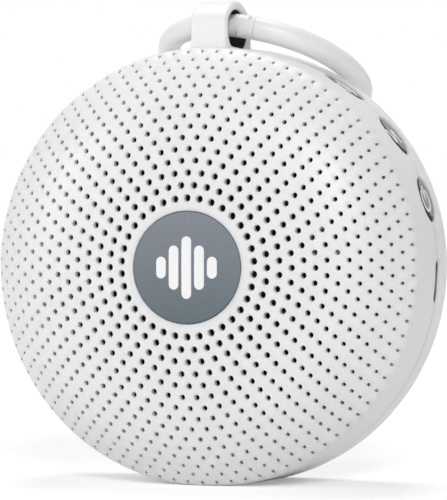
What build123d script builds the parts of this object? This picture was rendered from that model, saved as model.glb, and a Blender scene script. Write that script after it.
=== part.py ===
from build123d import *
import os
from math import cos, degrees, radians, sin, sqrt

# Portable white noise sound machine. A round loudspeaker with a domed, perforated front stands
# on a small flat of its rim. A strap lug on top carries a ring that opens at a coupling, and the
# keys and the charging port lie on the seam between the two halves of the housing.
# Millimetres. +Z is up and the grille faces -Y. The origin lies on the standing flat, under the
# seam. Pieces are modelled about the axis of the housing, with the seam at y = 0, and are lifted
# by foot_distance when they are written.

# Housing: a perforated front half and a plain rear half, both moulded with one wall
edge_radius = 46.3          # side wall where the dome begins
back_radius = 47.5          # side wall produced to the plane of the back
crown_angle = 11.2          # slope where the flat crown of the dome meets its shoulder
shoulder_angle = 46.0       # slope where the shoulder meets the tight edge
shoulder_radius = 27.7
edge_round = 4.4
front_depth = 13.0          # side wall of the front half, dome to seam
rear_depth = 9.5            # side wall of the rear half, seam to back
wall = 2.0
back_corner = 2.5           # radius round the back
foot_distance = 46.0        # axis to standing flat
foot_pad_width = 26.0       # thickened wall inside the flat
foot_pad_wall = 1.8
seam_bevel = 0.25
tongue_depth = 1.5          # locating tongue of the rear half inside the front half
tongue_wall = 0.9
tongue_gap = 0.15

# Grille: round holes along the axis, on rings that close up towards the edge
first_ring_radius = 14.33
ring_pitch = 2.65
pitch_loss = 0.0686         # each pitch is this much smaller than the one inside it
first_ring_holes = 34
added_holes = 4             # each ring has this many more holes than the one inside it
inner_hole = 1.56           # hole width on the first ring
outer_hole = 0.69           # hole width on the last ring
grille_rings = 15
hole_sides = 6              # each hole has few faces, and the fine ones have fewer
fine_hole = 1.2
fine_hole_sides = 4

# Badge: a round plate let into the middle of the grille
badge_radius = 11.65
badge_depth = 1.2           # pocket depth at the middle
badge_gap = 0.1
badge_inset = 0.12          # badge face below the dome

# Acoustic cloth behind the grille
cloth_gap = 0.3
cloth = 0.4
cloth_radius = 39.5

# Housing screws: bosses against the side wall, screws driven from the back
boss_radius = 3.2
boss_sink = 0.2             # boss sunk into the side wall
boss_angles = (75, 135, 225, 315)
screw_radius = 1.0
screw_gap = 0.05            # screw to pilot hole
screw_head_radius = 1.9
screw_head = 1.4
screw_grip = 6.0            # thread in the front boss
screw_floor = 3.0           # boss left under the screw head
head_gap = 0.3

# Loudspeaker
speaker_setback = 5.8       # dome wall to the flange
speaker_radius = 26.5
speaker_flange = 1.2
ear_circle = 29.0
ear_radius = 3.2
ear_angles = (10, 100, 190, 280)
surround_radius = 23.0
cone_radius = 19.5
basket_depth = 10.0
basket_wall = 0.8
coil_radius = 7.0
cone_depth = 5.5
cone_wall = 0.4
cap_rise = 2.3
magnet_radius = 16.0
magnet_gap = 2.5            # magnet to the chips on the board
small_screw_radius = 0.8
small_head_radius = 1.6
small_head = 1.1
small_grip = 2.4

# Electronics: one board behind the seam carries the port and the key switches
board = 1.6
board_radius = 37.0
board_gap = 0.4             # board edge to the nearest wall
standoff_radius = 2.5
standoff_circle = 31.0
standoff_angles = (90, 195, 345)
battery_width = 50.0
battery_length = 33.0
battery_drop = 10.5         # middle of the battery below the axis
battery_gap = 0.3           # battery to board
battery_corner = 2.0
pad = 0.3                   # adhesive pad under the battery
pad_inset = 3.0
chip_circle = 30.0
chip_height = 1.0
sound_chip = (138, 7.0)     # angle round the board and width
amplifier = (62, 4.0)
charging_chip = (-43, 5.0)

# Charging port on the seam
port_angle = -3.75
port_width = 8.94
port_height = 3.2
port_length = 7.4
port_shell = 0.3
port_inset = 0.5            # mouth of the shell inside the side wall
port_gap = 0.2
port_tongue = 0.7
port_tongue_width = 6.7
port_back = 1.2

# Keys: round caps on the seam, each pressing the plunger of its own switch
key_angles = {"power": 17.7, "sound": 36.4, "volume": 54.9}
key_radius = 4.75
key_recess = 0.45           # key face below the side wall
key_gap = 0.25
key_flange = 1.1
key_flange_wall = 1.2
key_travel = 0.5
stem_radius = 1.6
switch_depth = 9.5          # side wall to the face of the switches
switch_width = 6.0
switch_height = 3.2
switch_length = 3.5
plunger_radius = 1.1
plunger_gap = 0.05
plunger_rise = 1.2          # plunger outside its switch
plunger_root = 1.1          # plunger inside its switch

# Strap lug, captured in the seam at the top: a strap of one thickness bent over an eye
lug_width = 8.0
lug_depth = 19.0
lug_middle = -2.2           # middle of the lug, before or behind the seam
lug_height = 10.0           # top of the lug above the side wall
lug_crown = 13.0            # radius of the arch over the top
lug_corner = 3.2            # radius where the arch meets the front and the back
strap = 1.9                 # wall of the lug round its eye
eye_lift = 0.1              # floor of the eye above the side wall
eye_corner = 3.6            # radius of the lower corners of the eye
lug_edge = 0.85
lug_gap = 0.1
lug_flange = 2.6
lug_flange_wall = 2.0

# Carry ring and its coupling
ring_radius = 21.8          # middle of the tube
ring_tube = 2.5
coupling_tube = 2.4
coupling_left = 15.0        # ends of the coupling, counted round the ring from the middle of the lug
coupling_right = 20.0
ring_rise = 0.8             # tube above the middle of the eye
ring_lean = 23.5            # ring below the horizontal where it rests on the back of the rim
ring_turn = 20.0            # ring turned about the vertical in the eye
ring_shift = 7.6            # ring turned in its own plane
tenon_radius = 1.5
tenon_length = 6.0          # angle that each tenon takes up in the coupling
tenon_gap = 0.1
latch_width = 2.4
latch_rise = 0.2
latch_start = 8.5           # latch along the coupling, from the middle of the lug
latch_end = 17.5
latch_slot = 0.4
latch_tilt = 45.0           # latch round the tube, from the outside of the ring
pin_radius = 0.9
pin_place = 12.7            # pin along the coupling, from the middle of the lug
pin_tilt = -57.0            # pin round the tube, from the outside of the ring
pin_inset = 0.08            # flat ends of the pin below the skin of the coupling

# Places that follow from the sizes above. The dome is three tangent arcs: crown, shoulder, edge.
side_slope = (back_radius - edge_radius) / (front_depth + rear_depth)
crown_sine = sin(radians(crown_angle))
shoulder_sine = sin(radians(shoulder_angle))
crown_run = edge_radius - edge_round - (shoulder_radius - edge_round) * shoulder_sine
crown_radius = shoulder_radius + crown_run / crown_sine
dome_height = crown_radius - (crown_radius - shoulder_radius) * cos(radians(crown_angle))
dome_height -= (shoulder_radius - edge_round) * cos(radians(shoulder_angle))
dome_front = -front_depth - dome_height
inner_back = rear_depth - wall
flange_front = dome_front + wall + speaker_setback
board_front = port_height / 2
board_back = board_front + board


def side_radius(y):
    """Outer radius of the side wall in the plane y."""
    return edge_radius + side_slope * (y + front_depth)


boss_circle = side_radius(-front_depth) - wall + boss_sink - boss_radius
lug_front = lug_middle - lug_depth / 2
lug_back = lug_middle + lug_depth / 2
lug_seat = min(side_radius(lug_front), side_radius(lug_back)) - wall - lug_gap
lug_foot = lug_seat - lug_flange_wall
lug_top = side_radius(lug_middle) + lug_height
eye_floor = side_radius(lug_middle) + eye_lift
eye_top = lug_top - strap
port_mouth = side_radius(0) - port_inset
switch_face = side_radius(0) - switch_depth
key_foot = switch_face + plunger_rise


def disc(radius, front, back):
    """Round disc about the axis of the housing, between two planes."""
    return Pos(0, (front + back) / 2, 0) * Rot(90, 0, 0) * Cylinder(radius, back - front)


def spot(radius, angle):
    """Place on a circle about the axis of the housing, with the axes left unturned."""
    return Pos(radius * cos(radians(angle)), 0, radius * sin(radians(angle)))


def outward(angle, radius):
    """Place on the seam whose local Z points away from the axis of the housing."""
    return Rot(0, -angle, 0) * Pos(radius, 0, 0) * Rot(0, 90, 0)


def column(radius, start, end):
    """Round column along local Z, from start to end."""
    return Pos(0, 0, (start + end) / 2) * Cylinder(radius, end - start)


def turned(*outline):
    """Solid of revolution about the axis of the housing."""
    return revolve(make_face(outline), Axis.Y)


def polygon_turned(*corners):
    """Solid of revolution of a polygon of (radius, y) corners."""
    return revolve(make_face(Polyline(*corners, close=True)), Axis.Y)


def housing_form(inset):
    """The whole housing as one solid, its surface moved inwards by inset."""
    back = rear_depth - inset
    crown = JernArc((0, dome_front + inset), (1, 0), crown_radius - inset, crown_angle)
    shoulder_turn = shoulder_angle - crown_angle
    shoulder = JernArc(crown @ 1, crown % 1, shoulder_radius - inset, shoulder_turn)
    edge = JernArc(shoulder @ 1, shoulder % 1, edge_round - inset, 90 - shoulder_angle)
    side = Line(edge @ 1, (side_radius(back) - inset, back))
    floor = Line(side @ 1, (0, back))
    profile = make_face([crown, shoulder, edge, side, floor, Line(floor @ 1, crown @ 0)])
    corner = max(back_corner - inset, back_corner / 4)
    profile = fillet(profile.vertices().sort_by_distance(side @ 1)[0], corner)
    return revolve(profile, Axis.Y)


outer_form = housing_form(0)
cavity = housing_form(wall)
filler = housing_form(wall / 2)
shell = outer_form - cavity
key_form = housing_form(key_recess)
flange_form = housing_form(wall + key_gap)


def both_halves():
    """Split the shell at the seam, thickened inside the standing flat and cut off level there."""
    pad_block = Box(foot_pad_width, 2 * (front_depth + dome_height), foot_pad_wall)
    thick = shell + (Pos(0, 0, -foot_distance + foot_pad_wall / 2) * pad_block & filler)
    below = Pos(0, 0, -foot_distance - back_radius) * Box(*[2 * back_radius] * 3)
    thick = thick - below
    return split(thick, Plane.XZ, Keep.TOP), split(thick, Plane.XZ, Keep.BOTTOM)


def seam_groove():
    """Small bevel round both halves, which shows as the line of the seam."""
    radius = side_radius(0)
    deep = (radius - seam_bevel, 0)
    wide = radius + seam_bevel
    return polygon_turned(deep, (wide, -2 * seam_bevel), (wide, 2 * seam_bevel))


def seam_ring(gap):
    """Tongue of the rear half, or with a gap the rebate for it in the front half."""
    inside = side_radius(0) - wall
    ring = disc(inside + tongue_wall + gap, -tongue_depth - gap, 0)
    ring -= disc(inside - 2 * gap, -2 * tongue_depth, tongue_depth)
    foot_break = Box(foot_pad_width - 2 * gap, 4 * tongue_depth, back_radius)
    return ring - Pos(0, 0, -back_radius) * foot_break


def grille_holes():
    """Prisms along the axis: rings of rising count, each half a step past the last."""
    holes = []
    for ring in range(grille_rings):
        count = first_ring_holes + ring * added_holes
        radius = first_ring_radius + ring * ring_pitch - ring * (ring - 1) / 2 * pitch_loss
        diameter = inner_hole + (outer_hole - inner_hole) * ring / (grille_rings - 1)
        hole = RegularPolygon(diameter / 2, hole_sides if diameter > fine_hole else fine_hole_sides)
        for step in range(count):
            angle = 90 + (step + ring % 2 / 2) * 360 / count
            holes.append(Rot(0, 0, angle) * Pos(radius, 0) * hole)
    return Pos(0, -front_depth, 0) * Rot(90, 0, 0) * extrude(Sketch() + holes, dome_height + wall)


def side_openings():
    """Cutters through the side wall for the keys, the charging port and the lug."""
    cutters = []
    for angle in key_angles.values():
        cutters.append(outward(angle, 0) * column(key_radius + key_gap, key_foot, 2 * back_radius))
    mouth = extrude(SlotOverall(port_width + 2 * port_gap, port_height + 2 * port_gap), back_radius)
    cutters.append(outward(port_angle, board_radius) * mouth)
    neck = Box(lug_width + 2 * lug_gap, lug_depth + 2 * lug_gap, back_radius)
    cutters.append(Pos(0, lug_middle, edge_radius) * neck)
    return cutters


def front_half(blank):
    """Perforated front: dome, side wall, screw bosses, speaker posts and badge pocket."""
    bosses = [spot(boss_circle, angle) * disc(boss_radius, dome_front, 0) for angle in boss_angles]
    posts = [spot(ear_circle, angle) * disc(ear_radius, dome_front, flange_front) for angle in ear_angles]
    body = blank + (Part() + bosses + posts & split(filler, Plane.XZ, Keep.TOP))
    body -= disc(badge_radius + badge_gap, dome_front - wall, dome_front + badge_depth)
    pilot = disc(screw_radius + screw_gap, -screw_grip - head_gap, 0)
    body -= [spot(boss_circle, angle) * pilot for angle in boss_angles]
    pilot = disc(small_screw_radius + screw_gap, flange_front - small_grip - head_gap, flange_front)
    body -= [spot(ear_circle, angle) * pilot for angle in ear_angles]
    body -= seam_ring(tongue_gap)
    body -= seam_groove()
    body -= side_openings()
    return body - grille_holes()


def rear_half(blank):
    """Plain rear: side wall, back, tongue, screw bosses and board standoffs."""
    bosses = [spot(boss_circle, angle) * disc(boss_radius, 0, rear_depth) for angle in boss_angles]
    posts = [spot(standoff_circle, angle) * disc(standoff_radius, board_back, rear_depth)
             for angle in standoff_angles]
    body = blank + (Part() + bosses + posts & filler) + seam_ring(0)
    seat = screw_floor
    shank = disc(screw_radius + 2 * screw_gap, -tongue_depth, seat)
    head = disc(screw_head_radius + head_gap, seat, rear_depth + wall)
    body -= [spot(boss_circle, angle) * (shank + head) for angle in boss_angles]
    pilot = disc(small_screw_radius + screw_gap, board_back, board_back + small_grip + head_gap)
    body -= [spot(standoff_circle, angle) * pilot for angle in standoff_angles]
    body -= seam_groove()
    return body - side_openings()


def screw(shank_radius, head_radius, head, grip):
    """Cheese head screw along the axis of the housing, its head seated on y = 0 and facing +Y."""
    return disc(head_radius, 0, head) + disc(shank_radius, -grip, 0)


def badge_plate():
    """Badge whose face follows the dome, seated on the floor of its pocket."""
    plate = disc(badge_radius, dome_front, dome_front + badge_depth)
    return plate & housing_form(badge_inset)


def cloth_skin():
    """Cloth behind the perforations, with room for the bosses and the speaker posts."""
    skin = housing_form(wall + cloth_gap) - housing_form(wall + cloth_gap + cloth)
    skin = skin & disc(cloth_radius, dome_front, flange_front)
    bosses = [spot(boss_circle, angle) * disc(boss_radius + cloth_gap, dome_front, 0)
              for angle in boss_angles]
    posts = [spot(ear_circle, angle) * disc(ear_radius + cloth_gap, dome_front, 0) for angle in ear_angles]
    return skin - bosses - posts


def speaker_basket():
    """Pressed frame: flange with four ears, conical basket and a flat ring for the magnet."""
    flange_back = flange_front + speaker_flange
    floor = flange_front + basket_depth
    lip = surround_radius + basket_wall
    neck = magnet_radius - basket_wall
    frame = polygon_turned(
        (surround_radius, flange_front), (speaker_radius, flange_front), (speaker_radius, flange_back),
        (lip, flange_back), (neck + basket_wall, floor), (coil_radius + 2, floor),
        (coil_radius + 2, floor - basket_wall), (neck, floor - basket_wall),
        (surround_radius, flange_back))
    ears = [spot(ear_circle, angle) * disc(ear_radius, flange_front, flange_back) for angle in ear_angles]
    frame += Part() + ears - disc(surround_radius, dome_front, 0)
    hole = disc(small_screw_radius + 2 * screw_gap, flange_front - wall, flange_back + wall)
    return frame - [spot(ear_circle, angle) * hole for angle in ear_angles]


def speaker_surround():
    """Half-round rubber roll between the flange and the cone."""
    middle = (surround_radius + cone_radius) / 2
    roll = (surround_radius - cone_radius) / 2
    outer = CenterArc((middle, flange_front), roll, 180, 180)
    inner = CenterArc((middle, flange_front), roll - cone_wall, 360, -180)
    return turned(outer, Line(outer @ 1, inner @ 0), inner, Line(inner @ 1, outer @ 0))


def speaker_cone():
    """Paper cone from the surround down to the coil."""
    foot = flange_front + cone_depth
    return polygon_turned(
        (cone_radius, flange_front), (cone_radius, flange_front + cone_wall),
        (coil_radius + cone_wall, foot), (coil_radius, foot), (coil_radius, foot - cone_wall),
        (cone_radius - cone_wall, flange_front))


def dust_cap():
    """Shallow domed cap that closes the coil, inside the foot of the cone."""
    foot = flange_front + cone_depth
    ball = (coil_radius ** 2 + cap_rise ** 2) / (2 * cap_rise)
    cap = Sphere(ball) - Sphere(ball - cone_wall)
    return Pos(0, foot - cap_rise + ball, 0) * cap & disc(coil_radius, dome_front, foot)


def voice_coil():
    """Copper coil on its former, below the cone and inside the magnet's gap."""
    foot = flange_front + cone_depth
    tube = disc(coil_radius, foot, flange_front + basket_depth)
    return tube - disc(coil_radius - cone_wall, foot - 1, rear_depth)


def speaker_magnet():
    """Ring magnet between its two plates."""
    front = flange_front + basket_depth
    back = board_front - chip_height - magnet_gap
    plate = (back - front) / 5
    ring = disc(magnet_radius, front, front + plate) + disc(magnet_radius, back - plate, back)
    return ring + disc(magnet_radius - plate, front, back)


def main_board():
    """Round board with a tab for the charging port and holes for its screws."""
    room = side_radius(0) - wall - tongue_wall - board_gap
    plate = disc(board_radius, board_front, board_back)
    reach = room - board_radius / 2
    tab = Pos(0, (board_front + board_back) / 2, 0) * Box(reach, board, port_width + 2)
    tab = Rot(0, -port_angle, 0) * Pos(room - reach / 2, 0, 0) * tab
    notch = disc(boss_radius + board_gap, board_front - board, board_back + board)
    hole = disc(small_screw_radius + 2 * screw_gap, board_front - board, board_back + board)
    plate = plate + tab - [spot(boss_circle, angle) * notch for angle in boss_angles]
    return plate - [spot(standoff_circle, angle) * hole for angle in standoff_angles]


def port_socket():
    """Steel shell of the port and the plastic block and tongue inside it."""
    place = outward(port_angle, port_mouth - port_length)
    inner_width = port_width - 2 * port_shell
    inner_height = port_height - 2 * port_shell
    bore = extrude(SlotOverall(inner_width, inner_height), port_length)
    steel = extrude(SlotOverall(port_width, port_height), port_length) - bore
    block = extrude(SlotOverall(inner_width, inner_height), port_back)
    tongue = extrude(Rectangle(port_tongue_width, port_tongue), port_length - port_inset)
    return place * steel, place * (block + tongue)


def push_switches():
    """The three key switches on the edge of the board, each with a bore for its plunger."""
    body = Pos(0, 0, -switch_length / 2) * Box(switch_width, switch_height, switch_length)
    bore = column(plunger_radius + plunger_gap, -plunger_root - key_travel - key_gap, 1)
    return [outward(angle, switch_face) * (body - bore) for angle in key_angles.values()]


def key_cap(angle):
    """Key cap: round head that follows the side wall, flange behind the wall, and a stem."""
    head_foot = side_radius(0) - wall - key_flange_wall - key_gap
    head = outward(angle, 0) * column(key_radius, head_foot, back_radius) & key_form
    flange = outward(angle, 0) * column(key_radius + key_flange, head_foot, back_radius) & flange_form
    return head + flange + outward(angle, 0) * column(stem_radius, key_foot, head_foot + key_flange_wall / 2)


def plunger(angle):
    """Plunger of one switch, which meets the stem of its key."""
    return outward(angle, 0) * column(plunger_radius, switch_face - plunger_root, key_foot)


def circuit_chips():
    """Sound chip, amplifier and charging chip on the front of the board."""
    seat = Pos(0, board_front - chip_height / 2, 0)
    return [spot(chip_circle, angle) * seat * Box(width, chip_height, width)
            for angle, width in (sound_chip, amplifier, charging_chip)]


def battery_block(inset, front, back):
    """Flat rounded block in the plan of the battery, smaller all round by inset."""
    plan = RectangleRounded(battery_width - 2 * inset, battery_length - 2 * inset, battery_corner)
    return Pos(0, back, -battery_drop) * Rot(90, 0, 0) * extrude(plan, back - front)


def arch(half, foot, top, crown, foot_corner, top_corner):
    """Upright outline: level foot, straight sides and an arc over the top, with rounded corners."""
    side_top = top - crown + sqrt(crown ** 2 - half ** 2)
    sides = Polyline((-half, side_top), (-half, foot), (half, foot), (half, side_top))
    face = make_face([sides, ThreePointArc((half, side_top), (0, top), (-half, side_top))])
    if foot_corner:
        face = fillet(face.vertices().sort_by(Axis.Y)[:2], foot_corner)
    return fillet(face.vertices().sort_by(Axis.Y)[-2:], top_corner)


def strap_lug():
    """Arched lug with an eye, on a flange that sits inside the side wall."""
    outline = arch(lug_depth / 2, lug_foot, lug_top, lug_crown, 0, lug_corner)
    outline -= arch(lug_depth / 2 - strap, eye_floor, eye_top, lug_crown - strap, eye_corner,
                    lug_corner - strap)
    block = extrude(Plane.YZ * Pos(lug_middle, 0) * outline, lug_width / 2, both=True)
    rims = [edge for face in block.faces().filter_by(Axis.X) for edge in face.edges()
            if edge.center().Z > lug_seat]
    block = fillet(rims, lug_edge)
    flange = Box(lug_width + 2 * lug_flange, lug_depth, 2 * lug_flange_wall)
    flange = Pos(0, lug_middle, lug_seat) * flange
    return block + (flange & disc(lug_seat, -back_radius, back_radius))


# The ring's own frame: its middle at the origin, its plane XY and the eye of the lug towards +Y
eye_point = Pos(0, lug_middle, (eye_floor + eye_top) / 2 + ring_rise)
ring_pose = Rot(0, 0, -ring_turn) * Rot(180 - ring_lean, 0, 0) * Rot(0, 0, -ring_shift)
ring_frame = eye_point * ring_pose * Pos(0, -ring_radius, 0)


def hoop(tube, start, end):
    """Part of the ring: a round tube between two angles, counted from the eye towards the left."""
    section = Plane.XZ * Pos(ring_radius, 0) * Circle(tube)
    return Rot(0, 0, 90 + start) * revolve(section, Axis.Z, end - start)


def carry_ring():
    """Open ring with a tenon at each end, one of them pinned in the coupling."""
    ring = hoop(ring_tube, coupling_left, 360 - coupling_right)
    ring += hoop(tenon_radius, coupling_left - tenon_length, coupling_left + 1)
    ring += hoop(tenon_radius, -coupling_right - 1, -pin_place + tenon_length / 2)
    return ring_frame * (ring - pin_hole(tenon_gap))


def across_tube(angle, tilt):
    """Place in the tube whose local X points out of it, tilted from the outside of the ring."""
    return Rot(0, 0, 90 + angle) * Pos(ring_radius, 0, 0) * Rot(0, tilt, 0)


def pin_hole(gap):
    """The pin across the coupling, or with a gap the hole that it passes in the tenon."""
    reach = coupling_tube - pin_inset
    return across_tube(-pin_place, pin_tilt) * Rot(0, 90, 0) * Cylinder(pin_radius + gap, 2 * reach)


def ring_coupling():
    """Sleeve through the eye: a socket for each tenon, and a latch tongue raised on its skin."""
    sleeve = hoop(coupling_tube, -coupling_right, coupling_left)
    raised = hoop(coupling_tube + latch_rise, -latch_end, -latch_start)
    strip = Box(4 * ring_tube, 4 * ring_radius, latch_width)
    middle = -(latch_start + latch_end) / 2
    strip = across_tube(middle, latch_tilt) * Pos(2 * ring_tube, 0, 0) * strip
    sleeve += raised & strip
    slot = Box(2 * (coupling_tube - tenon_radius), latch_slot, latch_width)
    slot_angle = -latch_end - degrees(latch_slot / 2 / ring_radius)
    sleeve -= across_tube(slot_angle, latch_tilt) * Pos(coupling_tube + latch_rise, 0, 0) * slot
    socket = tenon_radius + tenon_gap
    sleeve -= hoop(socket, coupling_left - tenon_length - 1, coupling_left + 1)
    sleeve -= hoop(socket, -coupling_right - 1, -pin_place + tenon_length / 2 + 1)
    sleeve -= across_tube(-pin_place, pin_tilt) * Rot(0, 90, 0) * Cylinder(pin_radius, 4 * coupling_tube)
    return ring_frame * sleeve


front_blank, rear_blank = both_halves()
port_steel, port_plastic = port_socket()
housing_screw = screw(screw_radius, screw_head_radius, screw_head, screw_grip + screw_floor)
board_screw = screw(small_screw_radius, small_head_radius, small_head, board + small_grip)
flange_screw = screw(small_screw_radius, small_head_radius, small_head, speaker_flange + small_grip)

pieces = {
    "front_grille": front_half(front_blank),
    "rear_cover": rear_half(rear_blank),
    "badge": badge_plate(),
    "acoustic_cloth": cloth_skin(),
    "housing_screws": [spot(boss_circle, angle) * Pos(0, screw_floor, 0) * housing_screw
                       for angle in boss_angles],
    "speaker_basket": speaker_basket(),
    "speaker_surround": speaker_surround(),
    "speaker_cone": speaker_cone(),
    "speaker_dust_cap": dust_cap(),
    "voice_coil": voice_coil(),
    "speaker_magnet": speaker_magnet(),
    "speaker_screws": [spot(ear_circle, angle) * Pos(0, flange_front + speaker_flange, 0) * flange_screw
                       for angle in ear_angles],
    "main_board": main_board(),
    "board_screws": [spot(standoff_circle, angle) * Pos(0, board_front, 0) * Rot(180, 0, 0) * board_screw
                     for angle in standoff_angles],
    "circuit_chips": circuit_chips(),
    "push_switches": push_switches(),
    "port_shell": port_steel,
    "port_tongue": port_plastic,
    "battery_cell": battery_block(0, board_back + battery_gap, inner_back - pad),
    "battery_pad": battery_block(pad_inset, inner_back - pad, inner_back),
    "strap_lug": strap_lug(),
    "carry_ring": carry_ring(),
    "ring_coupling": ring_coupling(),
    "coupling_pin": ring_frame * pin_hole(0),
}
for key, key_angle in key_angles.items():
    pieces[key + "_key"] = key_cap(key_angle)
    pieces[key + "_plunger"] = plunger(key_angle)

os.makedirs("parts", exist_ok=True)
lift = Pos(0, 0, foot_distance)
for name, shape in pieces.items():
    solids = shape if isinstance(shape, list) else [shape]
    export_step(Compound(children=[lift * solid for solid in solids]), os.path.join("parts", name + ".step"))
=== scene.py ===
from math import asin, cos, pi, radians, sin, tan

import bmesh
import bpy
import numpy as np
from mathutils import Matrix, Vector


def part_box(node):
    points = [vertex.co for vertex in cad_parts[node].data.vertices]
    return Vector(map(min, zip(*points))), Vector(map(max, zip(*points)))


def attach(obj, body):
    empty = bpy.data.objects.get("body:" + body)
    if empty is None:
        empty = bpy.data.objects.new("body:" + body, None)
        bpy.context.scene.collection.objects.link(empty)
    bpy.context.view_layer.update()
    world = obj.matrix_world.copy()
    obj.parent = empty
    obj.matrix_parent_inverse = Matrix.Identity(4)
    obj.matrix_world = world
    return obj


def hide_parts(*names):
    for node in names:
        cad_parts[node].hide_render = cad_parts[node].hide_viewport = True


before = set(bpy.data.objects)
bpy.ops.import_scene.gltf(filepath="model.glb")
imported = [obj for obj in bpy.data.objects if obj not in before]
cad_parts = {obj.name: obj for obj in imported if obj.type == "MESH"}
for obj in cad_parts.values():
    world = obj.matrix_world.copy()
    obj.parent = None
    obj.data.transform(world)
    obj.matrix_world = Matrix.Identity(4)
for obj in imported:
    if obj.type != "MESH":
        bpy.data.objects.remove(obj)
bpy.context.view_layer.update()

# ---------------------------------------------------------------------------------------------
# Studio: a plain white floor, soft lamps in front, at the left and above, and the camera.
# Metres, with +Z up and the grille towards -Y. Sizes in millimetres are written as number * mm.
mm = 0.001
scene = bpy.context.scene
scene.view_settings.view_transform = "Standard"

badge_low, badge_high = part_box("badge")
axis_height = (badge_low.z + badge_high.z) / 2
middle = Vector((0, -10.34 * mm, axis_height))

camera_turn, camera_rise, camera_distance = radians(17.411), radians(0.612), 536.1 * mm
camera_data = bpy.data.cameras.new("camera")
camera_data.lens = 182.2
camera_data.shift_x, camera_data.shift_y = 0.0269, 0.0336
camera_data.clip_start, camera_data.clip_end = 0.01, 20
camera = bpy.data.objects.new("camera", camera_data)
away = Vector((sin(camera_turn) * cos(camera_rise), -cos(camera_turn) * cos(camera_rise), sin(camera_rise)))
camera.location = middle + camera_distance * away
camera.rotation_euler = (pi / 2 - camera_rise, 0, camera_turn)
scene.collection.objects.link(camera)
scene.camera = camera


def soft_lamp(name, place, size, power):
    """Square area lamp at a place, turned to shine at the middle of the housing."""
    data = bpy.data.lights.new(name, "AREA")
    data.size, data.energy = size, power
    lamp = bpy.data.objects.new(name, data)
    lamp.location = place
    lamp.rotation_euler = (middle - Vector(place)).to_track_quat("-Z", "Y").to_euler()
    scene.collection.objects.link(lamp)


soft_lamp("lamp_front", (0.36, -0.9, 0.5), 0.3, 4.5)
soft_lamp("lamp_left", (-0.75, -0.55, 0.35), 0.3, 2.1)
soft_lamp("lamp_top", (-0.05, 0.25, 0.9), 0.5, 3.2)


def add_node(tree, kind, inputs=(), **settings):
    """Adds a shader node. Each input gets a value, or a link where it is given another's output."""
    made = tree.nodes.new("ShaderNode" + kind)
    for name, value in settings.items():
        setattr(made, name, value)
    for name, value in dict(inputs).items():
        if isinstance(value, bpy.types.NodeSocket):
            tree.links.new(value, made.inputs[name])
        else:
            made.inputs[name].default_value = value
    return made


def seen_ray(tree):
    """1 for a ray that the camera, a gloss or a clear surface sends out, and 0 for scattered light."""
    ray = add_node(tree, "LightPath").outputs
    first = add_node(tree, "Math", {0: ray["Is Camera Ray"], 1: ray["Is Glossy Ray"]}, operation="MAXIMUM")
    return add_node(tree, "Math", {0: first.outputs[0], 1: ray["Is Transmission Ray"]},
                    operation="MAXIMUM").outputs[0]


sky_light = 0.27
world = bpy.data.worlds.new("studio")
world.use_nodes = True
scene.world = world
sky = world.node_tree
sky.nodes.clear()
sky_strength = add_node(sky, "MapRange", {"Value": seen_ray(sky), "To Min": sky_light, "To Max": 1.0})
sky_colour = add_node(sky, "Background", {"Color": (1, 1, 1, 1), "Strength": sky_strength.outputs[0]})
add_node(sky, "OutputWorld", {"Surface": sky_colour.outputs[0]})

floor_half = 3.0
floor_mesh = bpy.data.meshes.new("floor")
floor_mesh.from_pydata([(-floor_half, -floor_half, 0), (floor_half, -floor_half, 0),
                        (floor_half, floor_half, 0), (-floor_half, floor_half, 0)], [], [(0, 1, 2, 3)])
floor = bpy.data.objects.new("floor", floor_mesh)
scene.collection.objects.link(floor)
floor_paint = bpy.data.materials.new("floor_paint")
floor_paint.use_nodes = True
ground = floor_paint.node_tree
ground.nodes.clear()
floor_place = add_node(ground, "TexCoord").outputs["Object"]
floor_reach = add_node(ground, "VectorMath", {0: floor_place}, operation="LENGTH").outputs["Value"]
floor_fade = add_node(ground, "MapRange", {"Value": floor_reach, "From Min": 0.1, "From Max": 0.7,
                                           "To Min": 0.26, "To Max": 1.0}).outputs[0]
floor_glow = add_node(ground, "Math", {0: floor_fade, 1: seen_ray(ground)}, operation="MULTIPLY").outputs[0]
floor_white = add_node(ground, "Emission", {"Color": (1, 1, 1, 1), "Strength": floor_glow}).outputs[0]
floor_matte = add_node(ground, "BsdfDiffuse", {"Color": (0.97, 0.97, 0.97, 1)}).outputs[0]
floor_sum = add_node(ground, "AddShader", {0: floor_matte, 1: floor_white}).outputs[0]
add_node(ground, "OutputMaterial", {"Surface": floor_sum})
floor_mesh.materials.append(floor_paint)

# ---------------------------------------------------------------------------------------------
# Front half of the housing: one white ABS moulding, a domed grille with a short flaring side
# wall. Straight round holes lie on rings, the back edge is notched for the keys, the port and the
# strap lug, and bosses inside take the screws that hold the rear half and the loudspeaker.
wall = 2.0 * mm
edge_radius, back_radius = 46.3 * mm, 47.5 * mm
front_depth, rear_depth = 13.0 * mm, 9.5 * mm
crown_slope, shoulder_slope = radians(11.2), radians(46.0)
shoulder_radius, edge_round = 27.7 * mm, 4.4 * mm
side_slope = (back_radius - edge_radius) / (front_depth + rear_depth)

first_ring, ring_pitch, pitch_loss = 14.33 * mm, 2.65 * mm, 0.0686 * mm
first_holes, more_holes, hole_rings = 34, 4, 15
inner_hole, outer_hole = 1.56 * mm, 0.69 * mm
hole_bevel, blind_depth = 0.05 * mm, 2.2 * mm
cell_share = 0.4                # half the width of a ring of cells, as a share of its pitch
cell_turns = (np.arange(12) + 0.5) * pi / 6

badge_radius = (badge_high.x - badge_low.x) / 2
pocket_radius, pocket_depth = badge_radius + 0.1 * mm, 1.2 * mm
seam_bevel = 0.25 * mm

key_turns = {"power": radians(17.7), "sound": radians(36.4), "volume": radians(54.9)}
key_hole = 5.0 * mm
port_turn = radians(-3.75)
port_half_width, port_half_height = 4.67 * mm, 1.8 * mm
lug_notch_half, lug_notch_front = 4.1 * mm, 11.8 * mm

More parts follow.
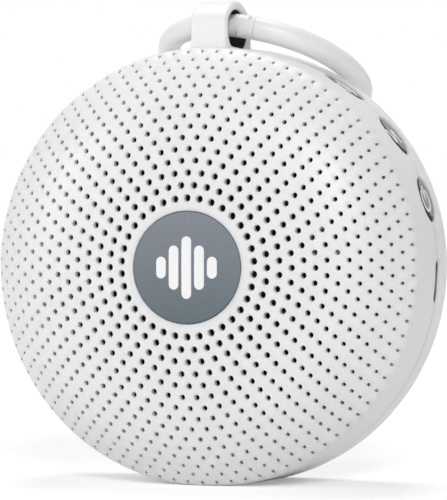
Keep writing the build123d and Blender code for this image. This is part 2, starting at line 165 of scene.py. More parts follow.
boss_circle, boss_turns = 41.3 * mm, np.radians([75, 135, 225, 315])
post_circle, post_turns = 29.0 * mm, np.radians([10, 100, 190, 280])
post_radius, post_reach = 3.2 * mm, 7.8 * mm


def side_radius(y):
    """Radius of the side wall at y: it widens evenly towards the back."""
    return edge_radius + side_slope * (y + front_depth)


def dome_depth(r, inset=0.0):
    """y of the dome at radius r: three tangent arcs (crown, shoulder, edge), moved in by inset."""
    edge_x = edge_radius - edge_round
    bend = shoulder_radius - edge_round
    crown_radius = shoulder_radius + (edge_x - bend * sin(shoulder_slope)) / sin(crown_slope)
    shoulder_x = (crown_radius - shoulder_radius) * sin(crown_slope)
    shoulder_y = bend * cos(shoulder_slope) - front_depth
    crown_y = shoulder_y + (crown_radius - shoulder_radius) * cos(crown_slope)
    r = np.asarray(r, float)

    def arc(radius, x, y):
        return y - np.sqrt(np.maximum((radius - inset) ** 2 - (r - x) ** 2, 0))
    depth = np.where(r > (crown_radius - inset) * sin(crown_slope),
                     arc(shoulder_radius, shoulder_x, shoulder_y), arc(crown_radius, 0, crown_y))
    return np.where(r > edge_x + (edge_round - inset) * sin(shoulder_slope),
                    arc(edge_round, edge_x, -front_depth), depth)


def around(r, turn, y):
    """Points at radius r and angle turn about the axis of the housing, in the plane y."""
    r, turn, y = np.broadcast_arrays(r, turn, y)
    return np.stack([r * np.cos(turn), y, axis_height + r * np.sin(turn)], -1)


class Sheet:
    """Collects the points and faces of closed surfaces. When the mesh is made, equal points are
    joined, quads with a joined side become triangles, and all faces are turned outwards."""

    def __init__(self):
        self.points, self.quads, self.triangles, self.count = [], [], [], 0

    def add(self, points):
        """Adds points and returns their indices, in the shape in which the points came."""
        index = self.count + np.arange(points[..., 0].size).reshape(points.shape[:-1])
        self.points.append(points.reshape(-1, 3))
        self.count += index.size
        return index

    def grid(self, index, closed=True):
        """Quads between neighbouring rows of indices; closed joins the last column to the first."""
        following = np.roll(index, -1, -1) if closed else index[..., 1:]
        index = index if closed else index[..., :-1]
        self.quads.append(np.stack([index[..., :-1, :], following[..., :-1, :], following[..., 1:, :],
                                    index[..., 1:, :]], -1).reshape(-1, 4))

    def zip(self, inner, inner_turns, outer, outer_turns):
        """Triangles between two closed rings of unlike count, both in order of rising angle.
        Each edge of one ring joins the point that the other has reached at the edge's middle."""
        def middles(turns):
            ahead = np.append(turns[1:], turns[0] + 2 * pi)
            return turns + (ahead - turns) / 2
        a, b = middles(inner_turns), middles(outer_turns)
        reached_out = np.searchsorted(b, a) % len(outer)
        reached_in = np.searchsorted(a, b, side="right") % len(inner)
        self.triangles.append(np.stack([inner, outer[reached_out], np.roll(inner, -1)], -1))
        self.triangles.append(np.stack([outer, np.roll(outer, -1), inner[reached_in]], -1))

    def mesh(self, name, crease=40):
        """The finished mesh, smooth but for edges that turn by more than crease degrees."""
        points = np.concatenate(self.points)
        _, first, back = np.unique(np.round(points, 8), axis=0, return_index=True, return_inverse=True)
        quads = back.reshape(-1)[np.concatenate(self.quads)]
        same = quads == np.roll(quads, -1, 1)
        faces = quads[~same.any(1)].tolist()
        for k in range(4):
            pinched = quads[same[:, k] & (same.sum(1) == 1)]
            faces += np.delete(pinched, k, 1).tolist()
        for triangles in self.triangles:
            faces += back.reshape(-1)[triangles].tolist()
        mesh = bpy.data.meshes.new(name)
        mesh.from_pydata(points[first].tolist(), [], faces)
        turned = bmesh.new()
        turned.from_mesh(mesh)
        bmesh.ops.recalc_face_normals(turned, faces=turned.faces)
        turned.to_mesh(mesh)
        turned.free()
        mesh.shade_smooth()
        mesh.set_sharp_from_angle(angle=radians(crease))
        return mesh


def hole_cells(sheet, radius, turns, half_turn, half_width, circles):
    """Cells of one ring, each a piece of the grille round one hole. A cell's edge and each circle
    of its hole have equally many points, joined by quads. Circles are (size, y at radius r)."""
    square = np.stack([np.cos(cell_turns), np.sin(cell_turns)])
    square /= np.abs(square).max(0)
    edge = radius + square[0] * half_width
    rows = [around(edge, turns[:, None] + square[1] * half_turn, circles[0][1](edge))]
    for size, surface in circles:
        out, along = radius + size * np.cos(cell_turns), size * np.sin(cell_turns)
        r = np.hypot(out, along)
        rows.append(around(r, turns[:, None] + np.arctan2(along, out), surface(r)))
    sheet.grid(sheet.add(np.stack(rows, 1)))


def notch_reach(turns, grow=0.0):
    """How far the openings in the seam reach forward of it at each angle round the housing.
    A key cuts a half circle, the port half a slot, the lug a rectangle; grow widens them all."""
    reach = np.full(turns.shape, grow)
    across = side_radius(0)
    for turn in key_turns.values():
        offset = across * np.sin(turns - turn)
        circle = np.sqrt(np.maximum((key_hole + grow) ** 2 - offset ** 2, 0))
        reach = np.where(np.cos(turns - turn) > 0, np.maximum(reach, circle), reach)
    past = np.maximum(np.abs(across * np.sin(turns - port_turn)) - port_half_width + port_half_height, 0)
    slot = np.sqrt(np.maximum((port_half_height + grow) ** 2 - past ** 2, 0))
    reach = np.where(np.cos(turns - port_turn) > 0, np.maximum(reach, slot), reach)
    under_lug = (np.abs(across * np.cos(turns)) < lug_notch_half + grow) & (np.sin(turns) > 0)
    return np.where(under_lug, lug_notch_front + grow, reach)


def seam_turns():
    """Angles round the seam: even steps, and more of them where an opening begins and ends."""
    across = side_radius(0)
    turns = [np.arange(0, 2 * pi, radians(0.75))]
    half_round = np.cos(np.linspace(0, pi, 37))
    quarter_round = np.cos(np.linspace(0, pi / 2, 13))
    side_step = 0.002 * mm * np.array([-1, 1])
    for grow in (0, seam_bevel):
        for turn in key_turns.values():
            turns.append(turn + np.arcsin((key_hole + grow) * half_round / across))
        flat = port_half_width - port_half_height
        bend = np.arcsin((flat + (port_half_height + grow) * quarter_round) / across)
        turns += [port_turn + bend, port_turn - bend]
        for side in (-1, 1):
            turns.append(np.arccos((side * (lug_notch_half + grow) + side_step) / across))
    turns = np.unique(np.round(np.concatenate(turns) % (2 * pi), 9))
    return turns[np.r_[True, np.diff(turns) > 2e-5]]


def screw_post(sheet, circle, turn, bore, bore_depth, end):
    """Round post from the middle of the dome's wall back to the plane end. It is cored out in
    front, so that it doesn't block the holes, and has a blind bore behind."""
    steps = np.arange(24) * pi / 12
    out, along = np.cos(steps), np.sin(steps)
    bevel, skin = 0.3 * mm, 0.12 * mm
    joint, core, bottom = wall / 2, wall + 0.9 * mm, wall + 1.2 * mm
    bore_end = max(end - bore_depth, float(dome_depth(circle + post_radius, bottom)))
    skin_radius = post_radius - skin
    rows = []
    for size, inset in ((0, core), (skin_radius, core), (skin_radius, joint), (post_radius, joint)):
        r = np.hypot(circle + size * out, size * along)
        rows.append(around(r, turn + np.arctan2(size * along, circle + size * out), dome_depth(r, inset)))
    for size, y in ((post_radius, end - bevel), (post_radius - bevel, end), (bore, end), (bore, bore_end),
                    (0, bore_end)):
        r = np.hypot(circle + size * out, size * along)
        rows.append(around(r, turn + np.arctan2(size * along, circle + size * out), y))
    sheet.grid(sheet.add(np.stack(rows)))


def front_surface():
    """The front half: rings of cells on the dome's two faces, and bands over the side wall.
    The last ring lies over the side wall, so its holes are blind."""
    sheet = Sheet()

    def outside(r):
        return dome_depth(r)

    def inside(r):
        return dome_depth(r, wall)

    plain_turns = np.arange(96) * pi / 48
    floor_y, rim_y = float(dome_depth(0)) + pocket_depth, float(dome_depth(pocket_radius))
    pocket = ((0, floor_y), (pocket_radius / 2, floor_y), (pocket_radius, floor_y),
              (pocket_radius, rim_y + hole_bevel), (pocket_radius + hole_bevel, rim_y))
    index = sheet.add(np.stack([around(r, plain_turns, y) for r, y in pocket]))
    sheet.grid(index)
    edges = {outside: (index[-1], plain_turns)}
    index = sheet.add(np.stack([around(r * mm, plain_turns, inside(r * mm)) for r in (0, 4, 8.5, 12.8)]))
    sheet.grid(index)
    edges[inside] = (index[-1], plain_turns)

    marks = np.array([-1, -tan(pi / 12), tan(pi / 12)])
    for k in range(hole_rings):
        holes = first_holes + more_holes * k
        pitch = ring_pitch - k * pitch_loss
        radius = first_ring + k * ring_pitch - k * (k - 1) / 2 * pitch_loss
        half_turn, half_width = pi / holes, cell_share * pitch
        turns = np.sort((pi / 2 + (np.arange(holes) + k % 2 / 2) * 2 * half_turn) % (2 * pi))
        size = (inner_hole + (outer_hole - inner_hole) * k / (hole_rings - 1)) / 2
        through = k < hole_rings - 1

        def bevelled(r):
            return outside(r) + hole_bevel

        def blind(r):
            return outside(r) + blind_depth
        mouth = [(size + hole_bevel, outside), (size, bevelled)]
        end = [(size, inside)] if through else [(size, blind), (0, blind)]
        hole_cells(sheet, radius, turns, half_turn, half_width, mouth + end)
        if through:
            hole_cells(sheet, radius, turns, half_turn, half_width, [(size, inside)])
        edge_turns = np.sort((turns[:, None] + marks * half_turn).reshape(-1) % (2 * pi))
        for surface in (outside, inside) if through else (outside,):
            low, high = radius - half_width, radius + half_width
            index = sheet.add(np.stack([around(r, edge_turns, surface(r)) for r in (low, high)]))
            sheet.zip(*edges[surface], index[0], edge_turns)
            edges[surface] = (index[1], edge_turns)

    turns = seam_turns()
    edge, bevel = -notch_reach(turns), -notch_reach(turns, seam_bevel)
    centre = edge_radius - edge_round
    arcs = np.linspace(asin((high - centre) / edge_round), pi / 2, 6)[1:]
    bands = [around(centre + edge_round * sin(a), turns, -front_depth - edge_round * cos(a)) for a in arcs]
    for share in (0.12, 0.3, 0.5, 0.7, 0.88, 1.0):
        y = -front_depth + share * (bevel + front_depth)
        bands.append(around(side_radius(y), turns, y))
    bands.append(around(side_radius(edge) - seam_bevel, turns, edge))
    for share in (1.0, 0.6, 0.3):
        y = -front_depth + share * (edge + front_depth)
        bands.append(around(side_radius(y) - wall, turns, y))
    inner_round = edge_round - wall
    for a in arcs[:0:-1]:
        bands.append(around(centre + inner_round * sin(a), turns, -front_depth - inner_round * cos(a)))
    bands = np.stack(bands)
    bands[..., 2] = np.maximum(bands[..., 2], 0)
    index = sheet.add(bands)
    sheet.zip(*edges[outside], index[0], turns)
    sheet.grid(index)
    sheet.zip(*edges[inside], index[-1], turns)

    for turn in boss_turns:
        screw_post(sheet, boss_circle, turn, 1.05 * mm, 6.3 * mm, 0)
    for turn in post_turns:
        screw_post(sheet, post_circle, turn, 0.85 * mm, 2.7 * mm, float(dome_depth(0)) + post_reach)
    return sheet


def place_piece(mesh, body, slot, material, *nodes):
    """Puts a finished mesh in the scene: it rides on a body, is painted, and stands for the nodes."""
    mesh.materials.append(material)
    piece = bpy.data.objects.new(mesh.name, mesh)
    scene.collection.objects.link(piece)
    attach(piece, body)
    if nodes:
        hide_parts(*nodes)
    return piece


def new_group(name, inputs, outputs):
    """An empty node group, with its sockets: inputs are (name, value) and outputs are names."""
    group = bpy.data.node_groups.new(name, "ShaderNodeTree")
    for title, value in inputs:
        group.interface.new_socket(title, in_out="INPUT", socket_type="NodeSocketFloat").default_value = value
    for title in outputs:
        group.interface.new_socket(title, in_out="OUTPUT", socket_type="NodeSocketFloat")
    given = group.nodes.new("NodeGroupInput").outputs
    made = group.nodes.new("NodeGroupOutput").inputs
    return group, given, made


# Moulded plastic: a fine spark-eroded grain, a slow mottle, and hair scuffs in two directions.
moulded_skin, given, made = new_group("moulded_skin", (("Grain scale", 9000.0), ("Scuff scale", 260.0)),
                                      ("Grain", "Mottle", "Scuffs"))
skin_place = add_node(moulded_skin, "TexCoord").outputs["Object"]
skin_fine = add_node(moulded_skin, "TexNoise", {"Vector": skin_place, "Scale": given["Grain scale"],
                                                "Detail": 4.0, "Roughness": 0.6})
skin_slow = add_node(moulded_skin, "TexNoise", {"Vector": skin_place, "Scale": 45.0, "Detail": 2.0})
skin_lean = add_node(moulded_skin, "Mapping", {"Vector": skin_place, "Rotation": (0.4, 0.9, 0.3),
                                               "Scale": (1, 14, 9)})
skin_hair = add_node(moulded_skin, "TexNoise", {"Vector": skin_lean.outputs[0], "Scale": given["Scuff scale"],
                                                "Detail": 3.0, "Distortion": 0.4})
skin_few = add_node(moulded_skin, "MapRange", {"Value": skin_hair.outputs["Fac"], "From Min": 0.66,
                                               "From Max": 0.78})
for skin_value, title in ((skin_fine.outputs["Fac"], "Grain"), (skin_slow.outputs["Fac"], "Mottle"),
                          (skin_few.outputs[0], "Scuffs")):
    moulded_skin.links.new(skin_value, made[title])


def new_paint(name):
    """A new material, its node tree, and the shader in the tree."""
    material = bpy.data.materials.new(name)
    material.use_nodes = True
    return material, material.node_tree, material.node_tree.nodes["Principled BSDF"]


def wire_paint(tree, shader, tint, gloss, relief):
    """Leads a mixed tint, a gloss value and a relief into the shader."""
    tree.links.new(tint.outputs["Result"], shader.inputs["Base Color"])
    tree.links.new(gloss.outputs[0], shader.inputs["Roughness"])
    tree.links.new(relief.outputs["Normal"], shader.inputs["Normal"])


def moulded_plastic(name, dark, pale, bump, smooth, rough, grain=9000.0, milky=0.0):
    """Satin moulded plastic: the mottle mixes two near colours, and scuffs even out the gloss.
    Milky is the share of the light that spreads a couple of millimetres under the surface."""
    material, tree, shader = new_paint(name)
    skin = add_node(tree, "Group", node_tree=moulded_skin)
    skin.inputs["Grain scale"].default_value = grain
    tint = add_node(tree, "Mix", {"Factor": skin.outputs["Mottle"], "A": (*dark, 1), "B": (*pale, 1)},
                    data_type="RGBA")
    gloss = add_node(tree, "MapRange", {"Value": skin.outputs["Mottle"], "From Min": 0.3, "From Max": 0.7,
                                        "To Min": smooth, "To Max": rough})
    worn = add_node(tree, "Math", {0: skin.outputs["Scuffs"], 1: 0.08, 2: gloss.outputs[0]},
                    operation="MULTIPLY_ADD")
    relief = add_node(tree, "Bump", {"Height": skin.outputs["Grain"], "Strength": bump,
                                     "Distance": 0.02 * mm})
    wire_paint(tree, shader, tint, worn, relief)
    if milky:
        shader.inputs["Subsurface Weight"].default_value = milky
        shader.inputs["Subsurface Radius"].default_value = (1.0, 0.97, 0.94)
        shader.inputs["Subsurface Scale"].default_value = 2.2 * mm
    return material


body_white = moulded_plastic("body_white", (0.868, 0.86, 0.863), (0.892, 0.885, 0.888), 0.25, 0.38, 0.46,
                             milky=1.0)
place_piece(front_surface().mesh("front_grille_shell"), "housing", "body_white", body_white, "front_grille")

# ---------------------------------------------------------------------------------------------
# Rear half of the housing: the same white ABS, a plain cup with a rounded rim at the back. A
# tongue locates it in the front half, and four screws hold it from behind.


def smooth_skin(node, body, slot, material, crease=32):
    """The solid of a node with its loose triangles joined, so that its rounds shade smoothly.
    Normals are weighted by face area, and edges over the crease angle stay sharp."""
    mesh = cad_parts[node].data.copy()
    mesh.name = node + "_skin"
    mesh.materials.clear()
    joined = bmesh.new()
    joined.from_mesh(mesh)
    bmesh.ops.remove_doubles(joined, verts=joined.verts, dist=0.001 * mm)
    joined.to_mesh(mesh)
    joined.free()
    mesh.shade_smooth()
    mesh.set_sharp_from_angle(angle=radians(crease))
    piece = place_piece(mesh, body, slot, material, node)
    weigh = piece.modifiers.new("weigh", "WEIGHTED_NORMAL")
    weigh.keep_sharp = True
    return piece


smooth_skin("rear_cover", "housing", "body_white", body_white)

# ---------------------------------------------------------------------------------------------
# Badge: a round plate of painted metal, glued into the pocket in the middle of the grille. Its
# face follows the dome, and five rounded bars in pale lacquer stand a hair above it.
badge_sink, badge_bevel = 0.22 * mm, 0.2 * mm
badge_height = 2 * badge_radius
badge_floor = badge_high.y
bar_half, bar_pitch, bar_rise = 1.05 * mm, 2.75 * mm, 0.09 * mm
bar_reach = np.array([1.2, 3.5, 5.4, 3.5, 1.2]) * mm


def badge_face(u, v, h=0.0):
    """Points on the badge at u to the right and v up from its middle, h above its face."""
    u, v, h = np.broadcast_arrays(u, v, h)
    return np.stack([u, dome_depth(np.hypot(u, v), badge_sink) - h, axis_height + v], -1)


def badge_plate():
    """Plate as rings from the middle of its face, over a bevelled edge, to the middle of its back."""
    turns = np.arange(128) * pi / 64
    rings = np.linspace(0, badge_radius - badge_bevel, 22)
    rows = [badge_face(r * np.cos(turns), r * np.sin(turns)) for r in rings]
    edge_y = float(dome_depth(badge_radius, badge_sink)) + badge_bevel
    side_and_back = ((badge_radius, edge_y), (badge_radius, badge_floor), (0, badge_floor))
    rows += [around(r, turns, y) for r, y in side_and_back]
    sheet = Sheet()
    sheet.grid(sheet.add(np.stack(rows)))
    return sheet.mesh("badge_plate")


def add_rib(sheet, path, half, rise, lay):
    """Raised line of a sign: an arched section swept along a path of (u, v), with round ends.
    At s across it the height is rise * (1 - s^4); over the last half width both shrink to a point.
    lay(u, v, h) puts the line on its surface."""
    path = np.asarray(path, float)
    along = np.r_[0, np.cumsum(np.hypot(*np.diff(path, axis=0).T))]
    heading = np.gradient(path, along, axis=0)
    heading /= np.hypot(*heading.T)[:, None]
    bend = np.linspace(0, pi / 2, 6)[:-1]
    start = path[0] - heading[0] * half * np.cos(bend)[:, None]
    end = path[-1] + heading[-1] * half * np.cos(bend[::-1])[:, None]
    line = np.concatenate([start, path, end])
    width = np.r_[np.sin(bend), np.ones(len(path)), np.sin(bend[::-1])][:, None]
    ahead = np.concatenate([np.repeat(heading[:1], 5, 0), heading, np.repeat(heading[-1:], 5, 0)])
    across = np.stack([-ahead[:, 1], ahead[:, 0]], -1)
    s = np.r_[np.linspace(-1, 1, 9), 0.9, -0.9]
    h = np.r_[rise * (1 - np.linspace(-1, 1, 9) ** 4), -rise, -rise]
    u, v = (line[:, None, k] + across[:, None, k] * s * half * width for k in (0, 1))
    sheet.grid(sheet.add(lay(u, v, h * width)))


def badge_bars():
    """Five upright bars side by side, the middle one longest."""
    sheet = Sheet()
    for k, reach in enumerate(bar_reach):
        u = (k - 2) * bar_pitch
        path = np.stack([np.full(24, u), np.linspace(-reach, reach, 24)], -1)
        add_rib(sheet, path, bar_half, bar_rise, badge_face)
    return sheet.mesh("badge_bars")


def slate_paint(name, dark, pale, rough, painted_light_fade=0.0):
    """Satin metallic paint: fine flakes change the tint, and turning marks lie in rings under it.
    Over a given height about the housing's axis, the paint also runs from dark at the bottom to pale at the
    top: painted light, as from lamps above."""
    material, tree, shader = new_paint(name)
    place = add_node(tree, "TexCoord").outputs["Object"]
    centred = add_node(tree, "Mapping", {"Vector": place, "Location": (0, 0, -axis_height)}).outputs[0]
    flakes = add_node(tree, "TexNoise", {"Vector": centred, "Scale": 5200.0, "Detail": 3.0})
    rings = add_node(tree, "TexWave", {"Vector": centred, "Scale": 900.0, "Distortion": 0.6, "Detail": 1.0},
                     wave_type="RINGS", rings_direction="Y")
    share = flakes.outputs["Fac"]
    if painted_light_fade:
        height = add_node(tree, "SeparateXYZ", {0: centred}).outputs["Z"]
        rise = add_node(tree, "MapRange", {"Value": height, "From Min": -painted_light_fade / 2, "From Max": painted_light_fade / 2,
                                           "To Min": -0.4, "To Max": 0.4}).outputs[0]
        share = add_node(tree, "Math", {0: share, 1: rise}, operation="ADD", use_clamp=True).outputs[0]
    tint = add_node(tree, "Mix", {"Factor": share, "A": (*dark, 1), "B": (*pale, 1)}, data_type="RGBA")
    gloss = add_node(tree, "MapRange", {"Value": flakes.outputs["Fac"], "To Min": rough - 0.06,
                                        "To Max": rough + 0.06})
    relief = add_node(tree, "Bump", {"Height": rings.outputs["Fac"], "Strength": 0.12, "Distance": 0.01 * mm})
    wire_paint(tree, shader, tint, gloss, relief)
    shader.inputs["Metallic"].default_value = 0.35
    return material


# The badge's paint is painted paler at the top and darker at the bottom: painted light.
badge_slate = slate_paint("badge_slate", (0.095, 0.125, 0.145), (0.21, 0.226, 0.255), 0.42, badge_height)
lacquer_white = moulded_plastic("lacquer_white", (0.86, 0.865, 0.87), (0.9, 0.9, 0.9), 0.1, 0.25, 0.32)
place_piece(badge_plate(), "housing", "badge_grey", badge_slate, "badge")
place_piece(badge_bars(), "housing", "badge_grey", lacquer_white)

# ---------------------------------------------------------------------------------------------
# Keys: three round caps on the seam, painted metallic grey, each with a raised pale sign. A flange
# behind the wall holds each cap, and its stem presses the switch on the board.
key_radius, key_recess, key_round = 4.75 * mm, 0.45 * mm, 0.35 * mm
flange_radius, flange_inset = 5.85 * mm, 2.25 * mm
cap_back, stem_radius, stem_foot = 43.53 * mm, 1.6 * mm, 38.68 * mm
sign_half, sign_rise, sign_size = 0.33 * mm, 0.12 * mm, 2.4 * mm
# Painted shadow on each key face: outside a circle of the hole's size, moved up and towards the back of the
# key, the face is painted near black with a soft edge, as the shadow of the recess rim.
painted_shadow_up, painted_shadow_soft = 0.9 * mm, 0.6 * mm
painted_shadow_back = {"power": 3.2 * mm, "sound": 3.3 * mm, "volume": 3.8 * mm}


def on_wall(turn, a, b, inset):
    """Points on the side wall moved in by inset: a lies round the rim and b along the axis, both
    from the middle of the key at angle turn."""
    a, b, inset = np.broadcast_arrays(a, b, inset)
    height = np.sqrt((side_radius(b) - inset) ** 2 - a ** 2)
    return beside_key(turn, a, b, height)


def beside_key(turn, a, b, height):
    """Points at height out from the axis of the housing, along the middle line of the key."""
    a, b, height = np.broadcast_arrays(a, b, height)
    x, z = height * cos(turn) - a * sin(turn), height * sin(turn) + a * cos(turn)
    return np.stack([x, b, axis_height + z], -1)


def key_cap(name, turn):
    """Cap as rings from the middle of its face, over a quarter-round edge and the flange, to the
    end of its stem."""
    turns = np.arange(72) * pi / 36
    a, b = np.cos(turns), np.sin(turns)
    face = key_radius - key_round
    rows = [on_wall(turn, r * a, r * b, key_recess) for r in np.linspace(0, face, 10)]
    for bend in np.linspace(0, pi / 2, 6)[1:]:
        r = face + key_round * sin(bend)
        rows.append(on_wall(turn, r * a, r * b, key_recess + key_round * (1 - cos(bend))))
    rows.append(on_wall(turn, key_radius * a, key_radius * b, flange_inset))
    rows.append(on_wall(turn, flange_radius * a, flange_radius * b, flange_inset))
    for r, height in ((flange_radius, cap_back), (stem_radius, cap_back), (stem_radius, stem_foot),
                      (0, stem_foot)):
        rows.append(beside_key(turn, r * a, r * b, height))
    sheet = Sheet()
    sheet.grid(sheet.add(np.stack(rows)))
    mesh = sheet.mesh(name + "_key_cap")
    place = np.empty(3 * len(mesh.vertices))
    mesh.vertices.foreach_get("co", place)
    x, y, z = place.reshape(-1, 3).T
    a, b = (z - axis_height) * cos(turn) - x * sin(turn), y
    # Painted shadow attribute: near 1 towards the front lower edge of the face and 0 elsewhere.
    past = np.hypot(a - painted_shadow_up, b - painted_shadow_back[name]) - key_hole
    painted_shadow = mesh.attributes.new("painted_shadow", "FLOAT", "POINT")
    painted_shadow.data.foreach_set("value", np.clip(past / painted_shadow_soft + 0.5, 0, 1))
    return mesh


def paint_key_shadow(material):
    """Darkens the paint to near black, and makes it rough, by the cap's attribute: a painted shadow of the
    recess rim on the front lower part of the face.
    """
    tree = material.node_tree
    shader = tree.nodes["Principled BSDF"]
    painted_shadow = add_node(tree, "Attribute", attribute_name="painted_shadow").outputs["Fac"]
    paint = shader.inputs["Base Color"].links[0].from_socket
    tint = add_node(tree, "Mix", {"Factor": painted_shadow, "A": paint, "B": (0.012, 0.012, 0.014, 1)},
                    data_type="RGBA")
    gloss = shader.inputs["Roughness"].links[0].from_socket
    rough = add_node(tree, "Mix", {"Factor": painted_shadow, "A": gloss, "B": 0.9}).outputs["Result"]
    tree.links.new(tint.outputs["Result"], shader.inputs["Base Color"])
    tree.links.new(rough, shader.inputs["Roughness"])


def key_sign(name, turn, paths):
    """Raised lines of a key's sign. Its paths are drawn with u towards the back and v upwards."""
    sheet = Sheet()

    def lay(u, v, h):
        return on_wall(turn, v, u, key_recess - h)
    for path in paths:
        add_rib(sheet, np.asarray(path) * sign_size, sign_half, sign_rise, lay)
    return sheet.mesh(name + "_key_sign")


def bow(start, end, radius=1.0, middle_u=0.0):
    """Arc of a sign between two angles from its upright, clockwise, as (u, v)."""
    angles = np.linspace(radians(start), radians(end), 40)
    return np.stack([middle_u + radius * np.sin(angles), radius * np.cos(angles)], -1)


stroke = np.linspace(0, 1, 12)[:, None]
ripple = np.linspace(-1, 1, 48)
key_signs = {
    "power": [bow(38, 322), np.array([0, 1.15]) - stroke * [0, 1.0]],
    "sound": [np.stack([ripple * 1.1, 0.62 * np.sin(ripple * 1.5 * pi)], -1)],
    "volume": [np.array([-0.9, -0.5]) + stroke * [0, 1.0], bow(40, 140, 0.9, -0.8), bow(48, 132, 1.7, -0.8)],
}
key_paint = slate_paint("key_paint", (0.19, 0.2, 0.22), (0.26, 0.27, 0.295), 0.4)
paint_key_shadow(key_paint)
sign_pale = moulded_plastic("sign_pale", (0.76, 0.77, 0.78), (0.82, 0.83, 0.84), 0.1, 0.3, 0.38)
for key, turn in key_turns.items():
    place_piece(key_cap(key, turn), key + "_button", "key_grey", key_paint, key + "_key")
    place_piece(key_sign(key, turn, key_signs[key]), key + "_button", "key_grey", sign_pale)

# ---------------------------------------------------------------------------------------------
# Strap lug: a white strap of one thickness arched over an oval eye, moulded in one with the
# flange that the two halves of the housing clamp at the top of the seam.
ring_white = moulded_plastic("ring_white", (0.858, 0.852, 0.855), (0.882, 0.876, 0.879), 0.2, 0.34, 0.42)
lug = smooth_skin("strap_lug", "housing", "ring_white", ring_white)
eye_half, eye_low, eye_high, lug_middle = 7.7 * mm, 92.9 * mm, 101.1 * mm, -2.2 * mm
level_normal = 0.12             # the eye's wall has normals with less than this along x
# Painted shade: the wall inside the eye gets a second, near-black material for the deep shade there; the lug
# itself is white throughout.
eye_painted_shade = moulded_plastic("eye_painted_shade", (0.006, 0.006, 0.007), (0.014, 0.014, 0.015), 0.3, 0.6, 0.7)
lug.data.materials.append(eye_painted_shade)
lug_faces = lug.data.polygons
centre = np.empty(3 * len(lug_faces))
normal = np.empty(3 * len(lug_faces))
lug_faces.foreach_get("center", centre)
lug_faces.foreach_get("normal", normal)
centre, normal = centre.reshape(-1, 3), normal.reshape(-1, 3)
in_eye = (abs(centre[:, 1] - lug_middle) < eye_half) & (centre[:, 2] > eye_low) & (centre[:, 2] < eye_high)
eye_middle = np.array([0, lug_middle, (eye_low + eye_high) / 2])
inward = ((eye_middle - centre) * normal).sum(1) > 0
eye_wall = in_eye & inward & (abs(normal[:, 0]) < level_normal)
lug_faces.foreach_set("material_index", eye_wall.astype(np.int32))

# ---------------------------------------------------------------------------------------------
# Carry ring: a round bar of white nylon, bent to an open ring, with a tenon at each end inside the
# coupling. The coupling is a sleeve with a latch tongue, and a pin crosses it and one tenon.
ring_radius, ring_tube, tenon_radius = 21.8 * mm, 2.5 * mm, 1.5 * mm
ring_start, ring_end, tenon_turn = radians(15.0), radians(340.0), radians(6.0)
ring_eye = Vector((0, -2.2 * mm, 97.776 * mm))
ring_yaw, ring_lean, ring_slide = radians(-20.0), radians(180.0 - 23.5), radians(-7.6)
ring_pose = Matrix.Translation(ring_eye) @ Matrix.Rotation(ring_yaw, 4, "Z")
ring_pose = ring_pose @ Matrix.Rotation(ring_lean, 4, "X") @ Matrix.Rotation(ring_slide, 4, "Z")
ring_pose = np.array(ring_pose @ Matrix.Translation((0, -ring_radius, 0)))


def ring_bar():
    """Round section swept round the ring: at angle t from the eye and p round the section, the
    point lies at ring radius + tube * cos(p) from the ring's middle, and tube * sin(p) above it."""
    bevel = 0.25 * mm
    edge = bevel / ring_radius
    ends = np.array([(0, -tenon_turn), (tenon_radius, -tenon_turn), (tenon_radius, 0), (ring_tube - bevel, 0),
                     (ring_tube, edge)])
    tube = np.r_[ends[:, 0], np.full(240, ring_tube), ends[::-1, 0]][:, None]
    t = np.r_[ring_start + ends[:, 1], np.linspace(ring_start + edge, ring_end - edge, 242)[1:-1],
              ring_end - ends[::-1, 1]][:, None] + pi / 2
    p = np.arange(40) * pi / 20
    out = ring_radius + tube * np.cos(p)
    points = np.stack([out * np.cos(t), out * np.sin(t), tube * np.sin(p)], -1)
    sheet = Sheet()
    sheet.grid(sheet.add(points @ ring_pose[:3, :3].T + ring_pose[:3, 3]))
    return sheet.mesh("carry_ring_bar")


place_piece(ring_bar(), "ring", "ring_white", ring_white, "carry_ring")
smooth_skin("ring_coupling", "ring", "ring_white", ring_white)
smooth_skin("coupling_pin", "ring", "ring_white", ring_white)

# ---------------------------------------------------------------------------------------------
# Housing screws: four zinc-plated steel screws with cheese heads and a cross recess, driven from
# behind through the holes in the back, with a thread that cuts into the front bosses.
screw_radius, screw_head_radius, screw_head, screw_seat = 1.0 * mm, 1.9 * mm, 1.4 * mm, 3.0 * mm
thread_end, thread_pitch, thread_cut = -6.0 * mm, 0.8 * mm, 0.18 * mm
recess_depth, recess_half, recess_reach = 0.8 * mm, 0.28 * mm, 1.1 * mm


def screw_body(sheet, circle, turn):
    """Rings about the screw's own line. The head's top sinks where the smaller of |u| and |v| is
    under the recess width, and the thread is a ridge each pitch along the shank."""
    spin = np.arange(48) * pi / 24
    top = screw_seat + screw_head
    thread = np.arange(thread_end + 0.6 * mm, -0.2 * mm, thread_pitch / 4)[::-1]
    ridge = screw_radius - thread_cut * np.array([0, 0.6, 1, 0.6])[np.arange(len(thread)) % 4]
    size = np.r_[np.linspace(0, 1.5 * mm, 14), 1.75 * mm, screw_head_radius, screw_head_radius,
                 screw_radius, ridge, 0.5 * mm, 0]
    y = np.r_[np.full(14, top), top - 0.06 * mm, top - 0.3 * mm, screw_seat, screw_seat, thread, thread_end,
              thread_end]
    u, v = size[:, None] * np.cos(spin), size[:, None] * np.sin(spin)
    narrow = np.clip((recess_half - np.minimum(abs(u), abs(v))) / (0.12 * mm), 0, 1)
    near = np.clip((recess_reach - np.maximum(abs(u), abs(v))) / (0.25 * mm), 0, 1)
    sink = recess_depth * narrow * near * (y > top - 0.01 * mm)[:, None]
    rows = np.stack([circle * cos(turn) + u, y[:, None] - sink,
                     axis_height + circle * sin(turn) + v], -1)
    sheet.grid(sheet.add(rows))


